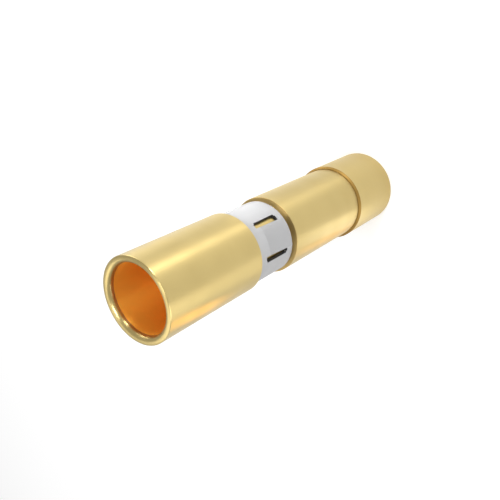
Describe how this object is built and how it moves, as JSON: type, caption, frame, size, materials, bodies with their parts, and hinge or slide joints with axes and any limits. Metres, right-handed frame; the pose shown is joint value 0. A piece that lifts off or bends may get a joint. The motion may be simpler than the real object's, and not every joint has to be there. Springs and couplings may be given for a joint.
{
  "type": "power socket contact",
  "caption": "Round power socket contact: a turned wire barrel and slotted socket nose under a hood, with a sprung retention clip in its groove.",
  "frame": {"origin": "centre of the mating face, on the contact's axis, where it stands", "axes": "+Z along the contact's axis, from the mating face up to the mouth of the wire barrel; +X through the middle of one tine of the clip; the clip's seam is at -Y"},
  "size_m": [0.0068, 0.0064, 0.0284],
  "materials": {
    "gold_plate": "bright gold plating over turned copper alloy",
    "hood_plate": "satin gold plating over a turned sleeve",
    "spring_steel": "satin spring steel sheet"
  },
  "bodies": {
    "root": {"contact_body": "gold_plate", "front_hood": "hood_plate", "retention_clip": "spring_steel"}
  },
  "joints": []
}
